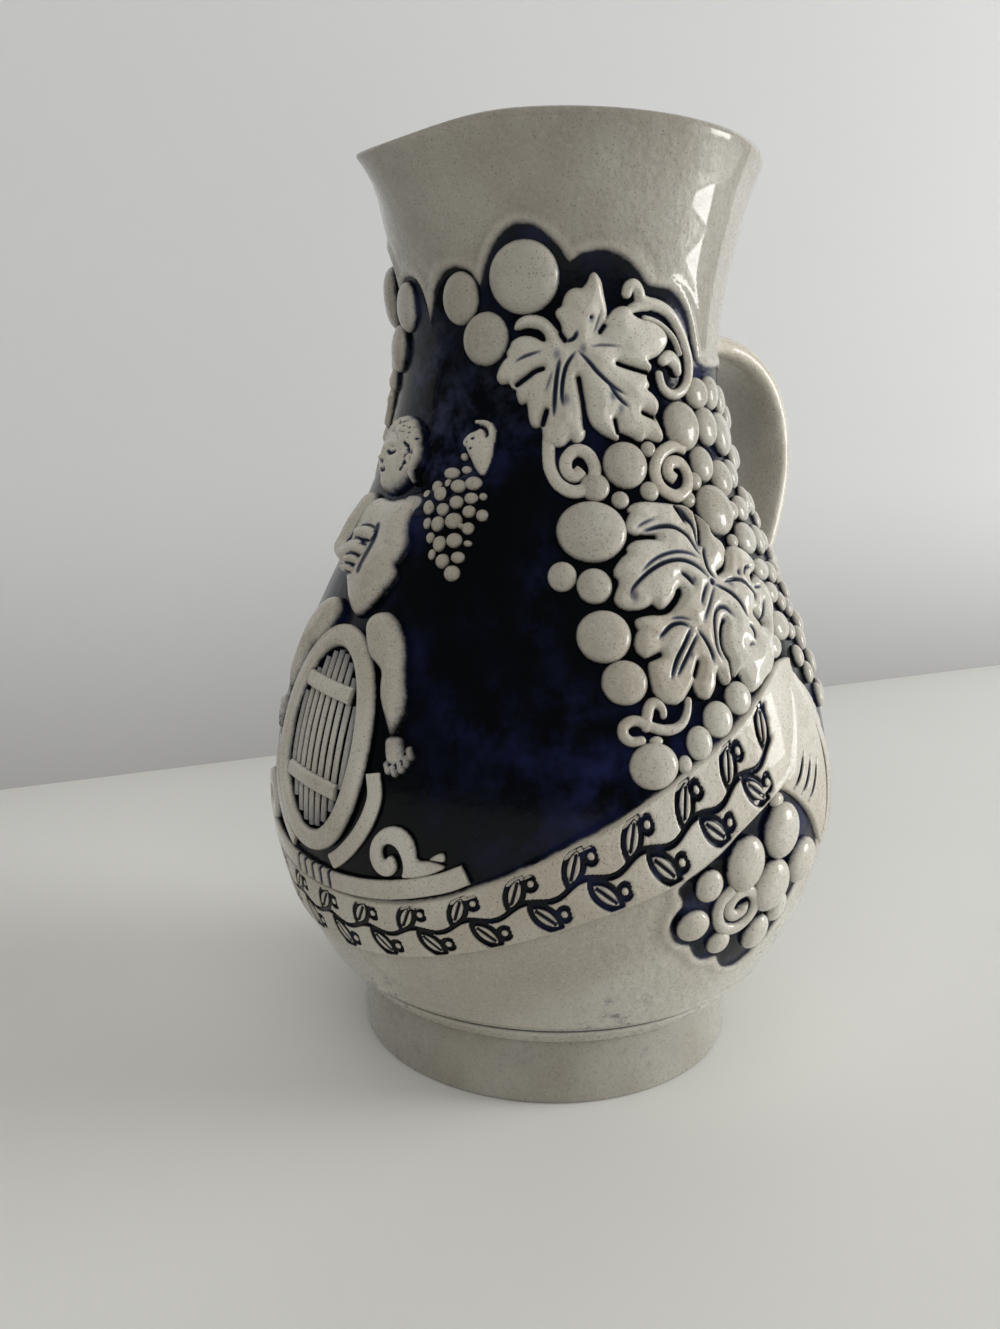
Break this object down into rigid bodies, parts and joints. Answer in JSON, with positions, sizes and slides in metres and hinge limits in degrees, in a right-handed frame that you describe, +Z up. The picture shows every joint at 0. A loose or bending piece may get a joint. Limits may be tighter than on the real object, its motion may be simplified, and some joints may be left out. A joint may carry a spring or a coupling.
{
  "type": "stoneware pitcher",
  "caption": "Pear-shaped stoneware wine pitcher with flared neck, pulled pouring lip, strap handle, turned foot and vine relief round the wall.",
  "frame": {"origin": "on the jug's axis, under the middle of the foot, at the plane it stands on", "axes": "+X towards the pouring lip, -X towards the handle, +Z up"},
  "size_m": [0.1825, 0.1704, 0.25],
  "materials": {
    "grey_salt_glaze": "glossy salt glaze on grey stoneware, finely speckled",
    "cobalt_and_grey_glaze": "glossy dark cobalt ground between the sprigs, grey salt glaze on the neck and round the lower belly",
    "bare_stoneware": "satin grey stoneware with thin glaze"
  },
  "bodies": {
    "root": {"jug_wall": "cobalt_and_grey_glaze", "foot": "bare_stoneware", "handle": "grey_salt_glaze", "figure_arm_folded": "grey_salt_glaze", "figure_head": "grey_salt_glaze", "figure_arm_raised": "grey_salt_glaze", "figure_leg_right": "grey_salt_glaze", "figure_leg_left": "grey_salt_glaze", "figure_grape_bunch": "grey_salt_glaze", "figure_torso": "grey_salt_glaze", "cask_rim": "grey_salt_glaze", "cask_boards": "grey_salt_glaze", "cask_batten_upper": "grey_salt_glaze", "cask_batten_lower": "grey_salt_glaze", "cask_cradle_right": "grey_salt_glaze", "cask_cradle_left": "grey_salt_glaze", "cask_base_board": "grey_salt_glaze", "banner": "grey_salt_glaze", "scroll_right": "grey_salt_glaze", "leaf_upper_right": "grey_salt_glaze", "leaf_lower_right": "grey_salt_glaze", "tendril_left_curl_right": "grey_salt_glaze", "tendril_middle_curl_right": "grey_salt_glaze", "tendril_hook_right": "grey_salt_glaze", "tendril_small_curl_right": "grey_salt_glaze", "tendril_field_curl_right": "grey_salt_glaze", "banner_fold_right": "grey_salt_glaze", "banner_tail_right": "grey_salt_glaze", "grapes_neck_right": "grey_salt_glaze", "grapes_shoulder_right": "grey_salt_glaze", "grapes_flank_right": "grey_salt_glaze", "grapes_belly_right": "grey_salt_glaze", "grapes_waist_right": "grey_salt_glaze", "grapes_low_right": "grey_salt_glaze", "scroll_left": "grey_salt_glaze", "leaf_upper_left": "grey_salt_glaze", "leaf_lower_left": "grey_salt_glaze", "tendril_left_curl_left": "grey_salt_glaze", "tendril_middle_curl_left": "grey_salt_glaze", "tendril_hook_left": "grey_salt_glaze", "tendril_small_curl_left": "grey_salt_glaze", "tendril_field_curl_left": "grey_salt_glaze", "banner_fold_left": "grey_salt_glaze", "banner_tail_left": "grey_salt_glaze", "grapes_neck_left": "grey_salt_glaze", "grapes_shoulder_left": "grey_salt_glaze", "grapes_flank_left": "grey_salt_glaze", "grapes_belly_left": "grey_salt_glaze", "grapes_waist_left": "grey_salt_glaze", "grapes_low_left": "grey_salt_glaze"}
  },
  "joints": []
}
